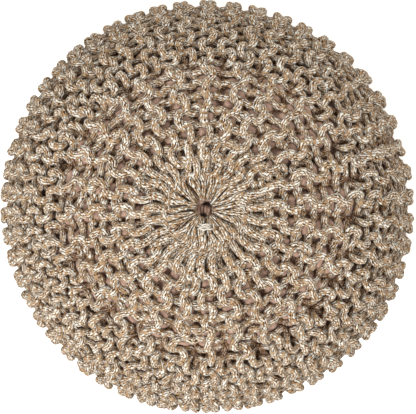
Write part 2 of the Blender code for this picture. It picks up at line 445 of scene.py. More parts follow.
def bridge(points: np.ndarray, start: int, end: int, reach: float, steps: int = 9) -> np.ndarray:
    """Turn smoothly from one end of a route to another, like a bent strand.

    Args:
        points: the route.
        start: index of the point that the turn leaves, whose heading comes from the point before it.
        end: index of the point that it comes to, whose heading goes to the point after it.
        reach: how far the turn swings out, in metres.
        steps: number of points in the turn.

    Returns:
        The points of the turn, without its two ends.
    """
    leave = unit_vectors((points[start] - points[start - 1])[None])[0] * reach
    come = unit_vectors((points[end + 1] - points[end])[None])[0] * reach
    t = (np.arange(1, steps + 1) / (steps + 1))[:, None]
    square, cube = t * t, t * t * t
    return (
        (2 * cube - 3 * square + 1) * points[start]
        + (cube - 2 * square + t) * leave
        + (3 * square - 2 * cube) * points[end]
        + (cube - square) * come
    )


@dataclass(frozen=True)
class Route:
    """The way of a strand: its points, with what the strand is like at each of them.

    The normals point roughly outwards. The half width lies along the surface and the half depth along the
    normal. The depth is that of the points below the knit's surface, negative inwards. Drawn is how far the
    strand is drawn straight, 0 to 1, which stretches its flecks.
    """

    points: np.ndarray
    normals: np.ndarray
    half_width: np.ndarray
    half_depth: np.ndarray
    depth: np.ndarray
    drawn: np.ndarray

    def closed_with(self, other: "Route", reach: float) -> "Route":
        """Join this route's ends to another one's by smooth turns.

        Args:
            other: the way back.
            reach: how far the turns swing out, in metres.

        Returns:
            The whole round, which starts with this route.
        """
        points = np.concatenate((self.points, other.points))
        near_turn = bridge(points, len(self.points) - 1, len(self.points), reach)
        far_turn = bridge(np.concatenate((points[-2:], points[:2])), 1, 2, reach)
        blend = np.linspace(0.0, 1.0, len(near_turn) + 2)[1:-1, None]

        def join(first: np.ndarray, second: np.ndarray) -> np.ndarray:
            """Put the values along the two routes one after the other, and blend them over the turns.

            Args:
                first: values along this route.
                second: values along the other one.

            Returns:
                The values along the whole round.
            """
            near = first[-1] * (1.0 - blend) + second[0] * blend
            far = second[-1] * (1.0 - blend) + first[0] * blend
            if first.ndim == 1:
                near, far = near[:, 0], far[:, 0]
            return np.concatenate((first, near, second, far))

        return Route(
            np.concatenate((self.points, near_turn, other.points, far_turn)),
            unit_vectors(join(self.normals, other.normals)),
            join(self.half_width, other.half_width),
            join(self.half_depth, other.half_depth),
            join(self.depth, other.depth),
            join(self.drawn, other.drawn),
        )


@dataclass(frozen=True)
class Tube:
    """Rings of points round one strand, their places along it, and how sunk and how drawn each point is."""

    rings: np.ndarray
    along: np.ndarray
    sunk: np.ndarray
    drawn: np.ndarray
    closed: bool


@dataclass(frozen=True)
class Yarn:
    """A thick plied yarn, whose rings turn with its twist."""

    half_thickness: float = 0.00490
    sides: int = 12
    twist_length: float = 0.110
    stretch: float = 0.34

    def sweep(self, route: Route, closed: bool) -> Tube:
        """Lay rings round a route.

        Args:
            route: the way of the strand.
            closed: whether the last ring joins the first.

        Returns:
            The strand's tube, with rings of shape (n, sides, 3).
        """
        points = route.points
        if closed:
            ahead, behind = np.roll(points, -1, axis=0), np.roll(points, 1, axis=0)
        else:
            ahead = np.concatenate((points[1:], points[-1:]))
            behind = np.concatenate((points[:1], points[:-1]))
        heading = unit_vectors(ahead - behind)
        across = unit_vectors(np.cross(heading, route.normals))
        up = np.cross(across, heading)
        steps = np.linalg.norm(np.diff(points, axis=0), axis=1) * (1.0 - self.stretch * route.drawn[1:])
        along = np.concatenate(([0.0], np.cumsum(steps)))
        whole = along[-1] + (np.linalg.norm(points[0] - points[-1]) if closed else 0.0)
        turns = max(1, round(whole / self.twist_length))
        wound = FULL_TURN * turns * along / whole
        side = FULL_TURN * np.arange(self.sides) / self.sides
        angle = side[None, :] + wound[:, None]
        rings = (
            points[:, None, :]
            + up[:, None, :] * (np.cos(angle) * route.half_depth[:, None])[..., None]
            + across[:, None, :] * (np.sin(angle) * route.half_width[:, None])[..., None]
        )
        rings[..., 2] = np.maximum(rings[..., 2], 0.0)
        # Depth of each point below the knit's surface, which the yarn's painted shade is worked out from.
        sunk = -(route.depth[:, None] + np.cos(angle) * route.half_depth[:, None])
        return Tube(rings, np.append(along, whole), sunk, np.repeat(route.drawn, self.sides), closed)


def link_object(name: str, data: bpy.types.ID) -> bpy.types.Object:
    """Make an object of a mesh, light or camera and link it to the scene.

    Args:
        name: the object's name.
        data: what it shows.

    Returns:
        The object.
    """
    made = bpy.data.objects.new(name, data)
    bpy.context.scene.collection.objects.link(made)
    return made


def ring_faces(rings: int, sides: int, gaps: int) -> np.ndarray:
    """Number the corners of the faces between neighbouring rings.

    Args:
        rings: number of rings.
        sides: points in each ring.
        gaps: how many gaps are filled, as many as there are rings where the last joins the first.

    Returns:
        Vertex numbers of shape (gaps * sides, 4).
    """
    ring = np.arange(gaps)[:, None]
    side = np.arange(sides)[None, :]
    following, beside = (ring + 1) % rings, (side + 1) % sides
    near, far = ring * sides, following * sides
    return np.stack((near + side, near + beside, far + beside, far + side), axis=-1).reshape(-1, 4)


def face_places(low: np.ndarray, high: np.ndarray, near: np.ndarray, far: np.ndarray) -> np.ndarray:
    """Give the faces between rings their texture coordinates.

    Args:
        low: place round the strand where each face starts.
        high: place round the strand where it ends.
        near: place along the strand where it starts.
        far: place along the strand where it ends.

    Returns:
        Coordinates of shape (faces, 4, 2), round the strand first and along it second.
    """
    around = np.stack((low, high, high, low), axis=-1)
    along = np.stack((near, near, far, far), axis=-1)
    return np.stack((around, along), axis=-1).reshape(-1, 4, 2)


@dataclass
class StrandMesh:
    """Collects tubes and turns them into one mesh with its strand and baking coordinates."""

    name: str
    sides: int
    strand_gap: float = 0.137
    strip_share: float = 0.085
    strip_margin: float = 0.06
    tubes: list[Tube] = field(default_factory=list)

    def build(self, material: bpy.types.Material) -> bpy.types.Object:
        """Make the piece.

        Args:
            material: its finish.

        Returns:
            The finished piece, linked to the scene.
        """
        verts, quads, strand_uv, ends = [], [], [], []
        start = 0
        offset = 0.0
        for tube in self.tubes:
            count, sides = tube.rings.shape[:2]
            gaps = count if tube.closed else count - 1
            verts.append(tube.rings.reshape(-1, 3))
            quads.append(ring_faces(count, sides, gaps) + start)
            if not tube.closed:
                ends.append(start + np.arange(sides)[::-1])
                ends.append(start + (count - 1) * sides + np.arange(sides))
            low = np.broadcast_to(np.arange(sides)[None, :] / sides, (gaps, sides))
            near = np.broadcast_to(tube.along[:gaps, None] + offset, (gaps, sides))
            far = np.broadcast_to(tube.along[1 : gaps + 1, None] + offset, (gaps, sides))
            strand_uv.append(face_places(low, low + 1.0 / sides, near, far))
            start += count * sides
            offset += tube.along[-1] + self.strand_gap
        piece = self._to_object(np.concatenate(verts), np.concatenate(quads), np.concatenate(strand_uv), ends)
        for name, parts in (
            (SUNK, [tube.sunk.ravel() for tube in self.tubes]),
            (DRAWN, [tube.drawn for tube in self.tubes]),
        ):
            layer = piece.data.attributes.new(name, "FLOAT", "POINT")
            layer.data.foreach_set("value", np.concatenate(parts).astype(np.float32))
        piece.data.materials.append(material)
        return piece

    def _bake_strips(self, segments: int) -> np.ndarray:
        """Lay every segment into parallel strips that fill the unit square.

        Args:
            segments: number of segments in all the tubes.

        Returns:
            Coordinates of shape (faces, 4, 2).
        """
        strips = max(1, round(math.sqrt(segments * self.strip_share)))
        per_strip = math.ceil(segments / strips)
        number = np.arange(segments)
        strip, place = number // per_strip, number % per_strip
        inner = 1.0 - 2.0 * self.strip_margin
        across = inner * np.arange(self.sides)[None, :] / self.sides
        low = (strip[:, None] + self.strip_margin + across) / strips
        high = low + inner / self.sides / strips
        near = np.broadcast_to((place / per_strip)[:, None], low.shape)
        far = np.broadcast_to(((place + 1.0) / per_strip)[:, None], low.shape)
        return face_places(low, high, near, far)[..., ::-1]

    def _to_object(
        self, verts: np.ndarray, quads: np.ndarray, strand_uv: np.ndarray, ends: list[np.ndarray]
    ) -> bpy.types.Object:
        """Fill a Blender mesh from arrays.

        Args:
            verts: points of all the tubes.
            quads: corners of the faces between their rings.
            strand_uv: strand coordinates of those faces.
            ends: corners of the faces that close open tubes.

        Returns:
            The object, linked to the scene.
        """
        loops = np.concatenate([quads.ravel(), *ends])
        end_starts = quads.size + np.arange(len(ends)) * self.sides
        starts = np.concatenate((np.arange(len(quads)) * 4, end_starts))
        mesh = bpy.data.meshes.new(self.name)
        mesh.vertices.add(len(verts))
        mesh.vertices.foreach_set("co", verts.astype(np.float32).ravel())
        mesh.loops.add(len(loops))
        mesh.loops.foreach_set("vertex_index", loops.astype(np.int32))
        mesh.polygons.add(len(starts))
        mesh.polygons.foreach_set("loop_start", starts.astype(np.int32))
        for name, uv in ((STRAND_UV, strand_uv), (BAKE_UV, self._bake_strips(len(quads) // self.sides))):
            layer = mesh.uv_layers.new(name=name)
            filled = np.zeros((len(loops), 2), dtype=np.float32)
            filled[: quads.size] = uv.reshape(-1, 2)
            layer.uv.foreach_set("vector", filled.ravel())
        mesh.uv_layers[STRAND_UV].active = True
        mesh.uv_layers[STRAND_UV].active_render = True
        mesh.update(calc_edges=True)
        mesh.validate()
        mesh.shade_smooth()
        return link_object(self.name, mesh)


@dataclass(frozen=True)
class DrawnPlace:
    """Where one of a ridge's strands lies once it is drawn in round the eye: how deep, and how far aside."""

    depth: float
    aside: float


@dataclass(frozen=True)
class SeamEdge:
    """The smooth edge of the knitting along the seam, which sways sideways and dips in and out."""

    start_radius: float = 0.178
    steps: int = 150
    sway: float = 0.0012
    sways: float = 9.0
    lean: float = 0.004
    lean_from: float = 0.3
    dip: float = 0.0007
    dips: float = 13.0
    depth: float = 0.0004
    side_depth: float = 0.0036
    side_radius: float = 0.212
    end_share: float = 0.08


@dataclass
class KnittedCover:
    """The garter-stitch cover.

    Every ridge is one closed strand, which runs out along its knit row and comes back along its purl row. The
    feet and heads of its loops lie in front at the ridge's crest and behind in the furrow, and each pair of
    rows interlocks there.
    """

    form: PoufForm
    plan: RidgePlan
    stitches: StitchPlan
    yarn: Yarn
    leg_lean: float = 0.15
    loop_height: float = 0.0250
    least_overlap: float = 0.0034
    depth_levels: tuple[float, float, float] = (0.0060, 0.0013, -0.0007)
    leg_squeeze: float = 0.16
    width_squeeze: float = 0.4
    rim_thinning: float = 0.14
    rim_radius: float = 0.150
    fade: float = 0.03
    short_turn: float = 0.014
    long_turn: float = 0.006
    end_inset: float = 0.06
    end_sink: float = 0.014
    end_reach: float = 0.7
    steps_per_stitch: int = 22
    base_steps: int = 13
    least_base: float = 0.2
    narrow_radius: float = 0.054
    full_radius: float = 0.130
    shallow_share: float = 0.74
    calm_radius: float = 0.023
    lively_radius: float = 0.058
    thin_share: float = 0.88
    least_half_width: float = 0.0009
    half_width_growth: float = 0.074
    least_half_depth: float = 0.0008
    half_depth_growth: float = 1.35
    layer: float = 0.0062
    layer_share: float = 0.25
    layer_radius: float = 0.026
    level_scatter: float = 0.0010
    aside_scatter: float = 0.11
    seam_gap: float = 0.0028
    seam_hold: float = 0.5
    edge: SeamEdge = SeamEdge()
    edge_sink: float = 0.0028
    edge_reach: float = 0.02
    along_jitter: float = 0.0021
    level_jitter: float = 0.0017
    depth_jitter: float = 0.0012
    slub: float = 0.045
    wander: float = 0.0015
    pieces: int = 6
    seed: int = 11

    def build(self, material: bpy.types.Material) -> list[bpy.types.Object]:
        """Make the cover's pieces.

        Args:
            material: the yarn's finish.

        Returns:
            The pieces, each a fan of neighbouring ridges.
        """
        rng = np.random.default_rng(self.seed)
        made = []
        per_piece = self.plan.ridges // self.pieces
        for number in range(self.pieces):
            mesh = StrandMesh(f"knit_fan_{number + 1}", self.yarn.sides)
            for ridge in range(number * per_piece, (number + 1) * per_piece):
                mesh.tubes.append(self._ridge(ridge, rng))
                if ridge == self.plan.seam_ridge:
                    mesh.tubes.append(self._edge_strand())
            made.append(mesh.build(material))
        return made

    def _ridge(self, ridge: int, rng: np.random.Generator) -> Tube:
        """Make one ridge as a closed strand.

        Args:
            ridge: its number.
            rng: source of the seeded unevenness.

        Returns:
            The strand.
        """
        if self.plan.is_short(ridge):
            top = self.stitches.count_at(self.form.length_at_radius(self.plan.turn_radius))
            foot = self.stitches.count_at(self.form.length_at_radius(self.plan.turn_radius, underside=True))
            shift = float(self.stitches.shift_at(float(self.plan.azimuth(ridge))))
            purl_first, purl_last = math.ceil(top - shift), math.floor(foot - shift)
            knit_first, knit_last = purl_first + 0.5, purl_last - 0.5
            turn_reach = self.short_turn
        else:
            knit_first = purl_first = self.end_inset
            knit_last = purl_last = float(self.stitches.counts[-1]) - self.end_inset
            turn_reach = self.long_turn
        knit_place, purl_place = self._drawn_places(rng)
        knit = self._row(ridge, Row.KNIT, knit_last, knit_first, knit_place, rng)
        purl = self._row(ridge, Row.PURL, purl_first, purl_last, purl_place, rng)
        return self.yarn.sweep(knit.closed_with(purl, turn_reach), closed=True)

    def _drawn_places(self, rng: np.random.Generator) -> tuple[DrawnPlace, DrawnPlace]:
        """Place a ridge's two strands round the eye: one on top, the other below and half a ridge aside.

        Args:
            rng: source of the seeded unevenness.

        Returns:
            The places of the knit row's strand and of the purl row's.
        """
        top = DrawnPlace(-abs(rng.normal(0.0, self.level_scatter)), rng.normal(0.0, self.aside_scatter))
        knit_on_top = rng.random() < 0.5
        aside = rng.normal(0.5 if knit_on_top else -0.5, self.aside_scatter)
        below = DrawnPlace(-self.layer - abs(rng.normal(0.0, self.level_scatter)), aside)
        return (top, below) if knit_on_top else (below, top)

    def _edge_strand(self) -> Tube:
        """Make the smooth edge along the seam, from the crown over the rim and down the side.

        Returns:
            The strand, open at its two ends, which sink behind the knit.
        """
        edge = self.edge
        start, end = self.form.length_at_radius(edge.start_radius), self.form.turn_under()
        share = np.linspace(0.0, 1.0, edge.steps)
        length = start + (end - start) * share
        radius = self.form.radius_at(length)
        sway = edge.sway / radius * np.sin(FULL_TURN * edge.sways * share)
        lean = edge.lean / radius * (edge.lean_from - share)
        azimuth = float(self.plan.azimuth(self.plan.seam_ridge)) + sway + lean
        rise = smooth_step(share / edge.end_share) * smooth_step((1.0 - share) / edge.end_share)
        half = np.full(len(share), self.yarn.half_thickness)
        dip = edge.dip * (1.0 - np.cos(FULL_TURN * edge.dips * share))
        lower = edge.depth + edge.side_depth * smooth_step((radius - edge.side_radius) / self.fade)
        depth = -half - dip - lower - self.end_sink * (1.0 - rise)
        points, normals = self.form.place(length, azimuth, depth)
        return self.yarn.sweep(Route(points, normals, half, half, depth, np.zeros(len(share))), closed=False)

    def _row(
        self, ridge: int, row: Row, first: float, last: float, place: DrawnPlace, rng: np.random.Generator
    ) -> Route:
        """Lay out one row of loops.

        Args:
            ridge: number of the ridge.
            row: which of its rows.
            first: stitch count where the strand starts.
            last: stitch count where it ends.
            place: where the strand lies round the eye.
            rng: source of the seeded unevenness.

        Returns:
            The strand's route along the row.
        """
        counts = self._stations(first, last)
        turn = FULL_TURN * (counts + 0.5)
        pitch = self.stitches.pitch_at(counts)
        calm = self._liveliness(self.form.radius_at(self.stitches.length_at(counts)))
        lean = self.leg_lean * calm * np.sin(2.0 * turn)
        shift = self.stitches.shift_at(float(self.plan.azimuth(ridge))) * calm
        jitter = self._drift(rng, counts, self.along_jitter) * calm / pitch
        length = self.stitches.length_at(counts + lean + shift + jitter)
        radius = self.form.radius_at(length)
        lively = self._liveliness(radius)

        low, high, free = self._seam_edges(ridge, row, length, radius)
        half = (high - low) / 2.0 + self.least_overlap / radius
        relaxed = self.loop_height / 2.0 / radius
        if self.plan.is_short(ridge):
            relaxed = relaxed * self.plan.spread(length)
        full = smooth_step((radius - self.narrow_radius) / (self.full_radius - self.narrow_radius))
        half = half + np.maximum(relaxed - half, 0.0) * full * free
        half = half + self._drift(rng, counts, self.level_jitter) / radius
        beside = (low + high) / 2.0
        stacked = float(self.plan.azimuth(ridge)) + place.aside * 2.0 * FULL_TURN / self.plan.ridges
        stacked = stacked + self._drift(rng, counts, self.wander) / radius
        middle = stacked + (beside - stacked) * lively
        azimuth = middle - half * lively * np.cos(turn)

        on_leg = 1.0 - np.cos(turn) ** 2
        squeeze = self.leg_squeeze * on_leg * lively
        thin = self.thin_share + (1.0 - self.thin_share) * lively
        thin = thin * (1.0 - self.rim_thinning * on_leg * smooth_step((radius - self.rim_radius) / self.fade))
        room = self.least_half_width + self.half_width_growth * radius
        thickness = self.yarn.half_thickness * thin * (1.0 + self._drift(rng, counts, self.slub))
        half_width = np.minimum(thickness * (1.0 - self.width_squeeze * squeeze), room)
        half_depth = np.minimum(
            thickness * (1.0 - squeeze), self.least_half_depth + self.half_depth_growth * room
        )

        wave = sum(level * np.cos((2 * k + 1) * turn) for k, level in enumerate(self.depth_levels))
        front = wave if row is Row.PURL else -wave
        swing = sum(self.depth_levels)
        steep = self.shallow_share + (1.0 - self.shallow_share) * full
        knitted = (front - swing) * steep - self.yarn.half_thickness
        knitted = knitted + self._drift(rng, counts, self.depth_jitter)
        if self.plan.is_short(ridge):
            from_end = np.minimum(counts - counts.min(), counts.max() - counts)
            knitted = knitted - self.end_sink * (1.0 - smooth_step(from_end / self.end_reach))
        if ridge == self.plan.seam_ridge:
            start = self.form.length_at_radius(self.edge.start_radius)
            knitted = knitted - self.edge_sink * smooth_step((length - start) / self.edge_reach)
        laid = place.depth * smooth_step(self.layer_share + radius / self.layer_radius) - half_depth
        depth = np.minimum(laid + (knitted - laid) * lively, -half_depth)
        points, normals = self.form.place(length, azimuth, depth)
        return Route(points, normals, half_width, half_depth, depth, 1.0 - lively)

    def _seam_edges(
        self, ridge: int, row: Row, length: np.ndarray, radius: np.ndarray
    ) -> tuple[np.ndarray, np.ndarray, np.ndarray]:
        """Find the lines between which a row lies, held back where it meets the seam.

        Args:
            ridge: number of the ridge.
            row: which of its rows.
            length: lengths along the meridian.
            radius: radii there.

        Returns:
            Azimuths of the row's start and end in radians, and how freely its loops spread, 0 to 1.
        """
        low, high = self.plan.row_edges(ridge, row, length)
        parted = smooth_step((radius - self.plan.seam_start) / self.fade)
        parted = parted * (1.0 - smooth_step((radius - self.edge.start_radius) / self.fade))
        gap = self.seam_gap / radius * parted
        free = 1.0 - self.seam_hold * parted
        after = ridge - self.plan.seam_ridge
        if row is Row.PURL and after == 0:
            return low, high - gap, free
        if row is Row.KNIT and after == 1:
            return low + gap, high, free
        if row is Row.KNIT and after == 2:
            return low + gap * (1.0 - self.plan.spread(length)), high, free
        return low, high, np.ones(len(radius))

    def _stations(self, first: float, last: float) -> np.ndarray:
        """Choose where a row has its points, sparser on the underside where nothing is seen closely.

        Args:
            first: stitch count where the row starts.
            last: stitch count where it ends.

        Returns:
            The points' stitch counts.
        """
        low, high = min(first, last), max(first, last)
        seen_to = min(high, self.stitches.count_at(self.form.turn_under()))
        seen = np.linspace(low, seen_to, max(2, round((seen_to - low) * self.steps_per_stitch)) + 1)
        if high > seen_to + self.least_base:
            under = np.linspace(seen_to, high, max(2, round((high - seen_to) * self.base_steps)) + 1)
            seen = np.concatenate((seen, under[1:]))
        return seen if last > first else seen[::-1]

    def _liveliness(self, radius: np.ndarray) -> np.ndarray:
        """How much of its loop shape a stitch keeps: none at the eye, where the rows are drawn straight."""
        return smooth_step((radius - self.calm_radius) / (self.lively_radius - self.calm_radius))

    def _drift(self, rng: np.random.Generator, counts: np.ndarray, size: float) -> np.ndarray:
        """Make seeded unevenness that changes from one half stitch to the next.

        Args:
            rng: source of random numbers.
            counts: stitch counts.
            size: standard deviation.

        Returns:
            One value for each count.
        """
        halves = 2.0 * np.abs(counts - counts.min())
        knots = rng.normal(0.0, size, int(halves.max()) + 3)
        before = np.floor(halves).astype(int)
        return knots[before] + (knots[before + 1] - knots[before]) * smooth_step(halves - before)


@dataclass(frozen=True)
class Crease:
    """A narrow fold of the cloth in the eye, placed from the eye's middle; a negative depth is a rise."""

    x: float
    y: float
    half_length: float
    half_width: float
    turn: float
    depth: float

    def at(self, x: np.ndarray, y: np.ndarray) -> np.ndarray:
        """Work out how far the crease pulls the cloth down.

        Args:
            x: places from the eye's middle.
            y: the same, along +Y.

        Returns:
            Depths below the cloth's level.
        """
        cos, sin = math.cos(math.radians(self.turn)), math.sin(math.radians(self.turn))
        along = ((x - self.x) * cos + (y - self.y) * sin) / self.half_length
        across = ((y - self.y) * cos - (x - self.x) * sin) / self.half_width
        return self.depth * np.exp(-(along**4) - across**2)


@dataclass(frozen=True)
class PatchWave:
    """A slant wave of the casing's swell, which turns by so many radians each ridge and each stitch."""

    size: float
    by_ridge: float
    by_stitch: float

    def at(self, ridge: np.ndarray, count: float) -> np.ndarray:
        """Value of the wave at ridges, after a number of stitches."""
        return self.size * np.sin(self.by_ridge * ridge + self.by_stitch * count)


@dataclass
class InnerCasing:
    """The stuffed cloth bag: it swells up between the stitches and puckers in the eye."""

    form: PoufForm
    plan: RidgePlan
    stitches: StitchPlan
    depth: float = 0.0215
    rim_depth: float = 0.0260
    rim_fade: float = 0.03
    eye_depth: float = 0.0172
    eye_radius: float = 0.064
    eye_fade: float = 0.024
    top_radius: float = 0.24
    swell: float = 0.0125
    least_swell: float = 0.45
    swell_inner: float = 0.060
    inner_fade: float = 0.020
    swell_outer: float = 0.176
    swell_over: float = 0.010
    outer_fade: float = 0.016
    furrow_share: float = 0.52
    stitch_sharpness: float = 1.4
    patch_level: float = 0.86
    patch_waves: tuple[PatchWave, ...] = (PatchWave(0.10, 2.3, 4.1), PatchWave(0.08, 3.7, -5.3))
    trench_depth: float = 0.016
    trench_half_width: float = 0.0065
    trench_fade: float = 0.02
    level_radius: float = 0.034
    eye_sink: float = 0.001
    eye_sink_share: float = 0.5
    creases: tuple[Crease, ...] = (
        Crease(0.0044, 0.0058, 0.0044, 0.0025, -14.0, 0.0260),
        Crease(-0.0008, 0.0052, 0.0026, 0.0012, 12.0, 0.0140),
        Crease(-0.0012, -0.0078, 0.0034, 0.0021, 6.0, 0.0220),
        Crease(-0.0008, -0.0008, 0.0066, 0.0009, 87.0, 0.0060),
        Crease(-0.0040, -0.0006, 0.0056, 0.0010, 97.0, 0.0065),
        Crease(0.0036, -0.0008, 0.0040, 0.0008, 76.0, 0.0024),
        Crease(-0.0024, -0.0010, 0.0050, 0.0010, 92.0, -0.0026),
        Crease(0.0013, -0.0008, 0.0048, 0.0011, 86.0, -0.0024),
        Crease(-0.0076, 0.0020, 0.0050, 0.0012, 70.0, 0.0040),
        Crease(0.0082, -0.0010, 0.0060, 0.0011, 84.0, 0.0060),
    )
    around: int = 324
    ridge_steps: int = 4000
    eye_step: float = 0.0006
    eye_fine_radius: float = 0.0135
    eye_shares: tuple[float, ...] = (0.44, 0.52, 0.64, 0.80)
    fine_step: float = 0.0030
    fine_radius: float = 0.190
    coarse_step: float = 0.0110
    foot_radius: float = 0.030

    def build(self, material: bpy.types.Material) -> bpy.types.Object:
        """Make the casing.

        Args:
            material: the cloth's finish.

        Returns:
            The finished piece.
        """
        azimuth = FULL_TURN * np.arange(self.around) / self.around
        rows = [self._ring(length, azimuth) for length in self._stations()]
        top_edge = rows[0]
        centre = np.array([*self.form.eye_shift, 0.0])
        level = float(np.mean(top_edge[:, 2]))
        fine = np.arange(self.eye_step, self.eye_fine_radius, self.eye_step) / self.level_radius
        inner = []
        for share in np.concatenate((fine, self.eye_shares)):
            ring = centre + (top_edge - centre) * share
            x, y = ring[:, 0] - centre[0], ring[:, 1] - centre[1]
            creased = sum(crease.at(x, y) for crease in self.creases)
            sunk = self.eye_sink * (1.0 - float(smooth_step(share / self.eye_sink_share)))
            ring[:, 2] = level + (top_edge[:, 2] - level) * share - creased - sunk
            inner.append(ring)
        return self._to_object(np.stack(inner + rows), level - self.eye_sink, material)

    def _stations(self) -> np.ndarray:
        """Choose where the casing has its rings outside the eye.

        Returns:
            Lengths along the meridian.
        """
        start = self.form.length_at_radius(self.level_radius)
        fine_end = self.form.length_at_radius(self.fine_radius)
        end = self.form.length_at_radius(self.foot_radius, underside=True)
        fine = np.arange(start, fine_end, self.fine_step)
        coarse = np.linspace(fine_end, end, round((end - fine_end) / self.coarse_step))
        return np.concatenate((fine, coarse))

    def _ring(self, length: float, azimuth: np.ndarray) -> np.ndarray:
        """Make one ring of the casing.

        Args:
            length: length along the meridian.
            azimuth: azimuths of its points in radians.

        Returns:
            The points of the ring.
        """
        radius = float(self.form.radius_at(length))
        on_top = length < self.form.length_at_radius(self.top_radius)
        depth = self._swell(length, azimuth, radius, on_top) - self._base_depth(radius, on_top)
        _, seam = self.plan.row_edges(self.plan.seam_ridge, Row.PURL, np.array([length]))
        from_seam = (azimuth - seam[0]) * radius / self.trench_half_width
        started = float(smooth_step((radius - self.plan.seam_start) / self.trench_fade)) * on_top
        depth = depth - self.trench_depth * started * np.exp(-(from_seam**2))
        points, _ = self.form.place(np.full(len(azimuth), length), azimuth, depth)
        points[:, 2] = np.maximum(points[:, 2], self.depth)
        return points

    def _base_depth(self, radius: float, on_top: bool) -> float:
        """Work out how deep the cloth lies where it doesn't swell: less round the eye, more over the rim.

        Args:
            radius: radius of the ring.
            on_top: whether the ring is on top of the pouf.

        Returns:
            The depth below the knit's surface.
        """
        rim = float(smooth_step((radius - self.swell_outer) / self.rim_fade)) * on_top
        near_eye = float(smooth_step((self.eye_radius - radius) / self.eye_fade)) * on_top
        return self.depth + (self.rim_depth - self.depth) * rim - (self.depth - self.eye_depth) * near_eye

    def _swell(self, length: float, azimuth: np.ndarray, radius: float, on_top: bool) -> np.ndarray:
        """Work out how far the cloth swells up through the stitches, where they are stretched.

        Args:
            length: length of the ring along the meridian.
            azimuth: azimuths of its points in radians.
            radius: its radius.
            on_top: whether it is on top of the pouf.

        Returns:
            The rise at each point.
        """
        fade_in = smooth_step((radius - self.swell_inner) / self.inner_fade)
        fade_out = smooth_step((self.swell_outer + self.swell_over - radius) / self.outer_fade)
        zone = float(fade_in * fade_out) * on_top
        count = self.stitches.count_at(length)
        numbers = np.linspace(-1.0, self.plan.ridges + 1.0, self.ridge_steps)
        ridge = np.interp(azimuth, self.plan.azimuth(numbers), numbers)
        from_furrow = 1.0 - np.abs((ridge + 1.0) % 2.0 - 1.0)
        across = smooth_step(from_furrow / self.furrow_share)
        down = np.cos(2.0 * FULL_TURN * (count - self.stitches.shift_at(azimuth))) * 0.5 + 0.5
        rise = self.least_swell + (1.0 - self.least_swell) * smooth_step(self.stitch_sharpness * down)
        patchy = sum((wave.at(ridge, count) for wave in self.patch_waves), start=self.patch_level)
        return self.swell * zone * patchy * across * rise

    def _to_object(self, rings: np.ndarray, level: float, material: bpy.types.Material) -> bpy.types.Object:
        """Fill a Blender mesh from the rings and close both ends.

        Args:
            rings: points of shape (rings, around, 3), from the eye outwards.
            level: height of the point in the middle of the eye.
            material: the cloth's finish.

        Returns:
            The object, linked to the scene.
        """
        count, around = rings.shape[:2]
        tip = (self.form.eye_shift[0], self.form.eye_shift[1], level)
        foot = (0.0, 0.0, self.depth)
        verts = np.concatenate((rings.reshape(-1, 3), [tip, foot]))
        quads = np.roll(ring_faces(count, around, count - 1)[:, ::-1], 1, axis=1)
        last = (count - 1) * around
        tip_fan = [(count * around, k, (k + 1) % around) for k in range(around)]
        foot_fan = [(count * around + 1, last + (k + 1) % around, last + k) for k in range(around)]
        mesh = bpy.data.meshes.new("casing_cloth_body")
        mesh.from_pydata(verts.tolist(), [], quads.tolist() + tip_fan + foot_fan)
        mesh.update()
        mesh.shade_smooth()
        mesh.materials.append(material)
        return link_object("casing_cloth_body", mesh)


@dataclass
class ClosingYarn:
    """The short strand that crosses the drawn-in rows beside the eye, its ends run down between them."""

    form: PoufForm
    yarn: Yarn
    half_span: float = 0.0080
    from_eye: tuple[float, float] = (0.0007, -0.0202)
    bow: float = 0.0010
    threads: int = 3
    half_thickness: float = 0.00115
    apart: float = 0.0026
    above: float = 0.0030
    rounding: float = 0.05
    overrun: float = 1.25
    overrun_share: float = 0.35
    dive: float = 0.0045
    phase_step: float = 0.7
    ragged: float = 0.0009
    reach_beat: float = 3.0
    reach_phase: float = 1.0
    shift_beat: float = 4.0
    sway: float = 0.0005
    sways: float = 6.3
    taper: float = 0.45
    steps: int = 40

    def build(self, material: bpy.types.Material) -> bpy.types.Object:
        """Make the strand.

        Args:
            material: the strand's finish.

        Returns:
            The finished piece.
        """
        mesh = StrandMesh("closing_strand", self.yarn.sides)
        for number in range(self.threads):
            aside = (number - (self.threads - 1) / 2.0) * self.apart
            mesh.tubes.append(self._thread(aside, self.phase_step * number))
        return mesh.build(material)

    def _thread(self, aside: float, phase: float) -> Tube:
        """Make one of the strand's threads, whose ends dive between the rows.

        Args:
            aside: how far it lies from the strand's middle.
            phase: what its reach, place and sway are worked out from, so that no two threads are alike.

        Returns:
            The thread.
        """
        along = np.linspace(-self.overrun, self.overrun, self.steps)
        held = np.clip(along, -1.0, 1.0)
        reach = self.half_span + self.ragged * math.sin(self.reach_beat * phase + self.reach_phase)
        x = self.form.eye_shift[0] + self.from_eye[0] + reach * (held + self.overrun_share * (along - held))
        x = x + self.ragged * math.cos(self.shift_beat * phase)
        y = self.form.eye_shift[1] + self.from_eye[1] - self.bow * (1.0 - held**2) + aside
        y = y + self.sway * np.sin(self.sways * along + phase)
        radius = np.hypot(x - self.form.eye_shift[0], y - self.form.eye_shift[1])
        length = np.array([self.form.length_at_radius(value) for value in radius])
        crown = np.interp(length, self.form.lengths, self.form.heights)
        over = np.clip(1.0 - np.abs(along) ** 4, -1.0, 1.0)
        z = crown + self.above - self.rounding * abs(aside) - self.dive * (1.0 - over)
        normals = np.tile(np.array([0.0, 0.0, 1.0]), (self.steps, 1))
        half = self.half_thickness * (1.0 - self.taper * np.abs(held) ** 3)
        route = Route(np.stack((x, y, z), axis=1), normals, half, half, z - crown, np.ones(self.steps))
        return self.yarn.sweep(route, closed=False)


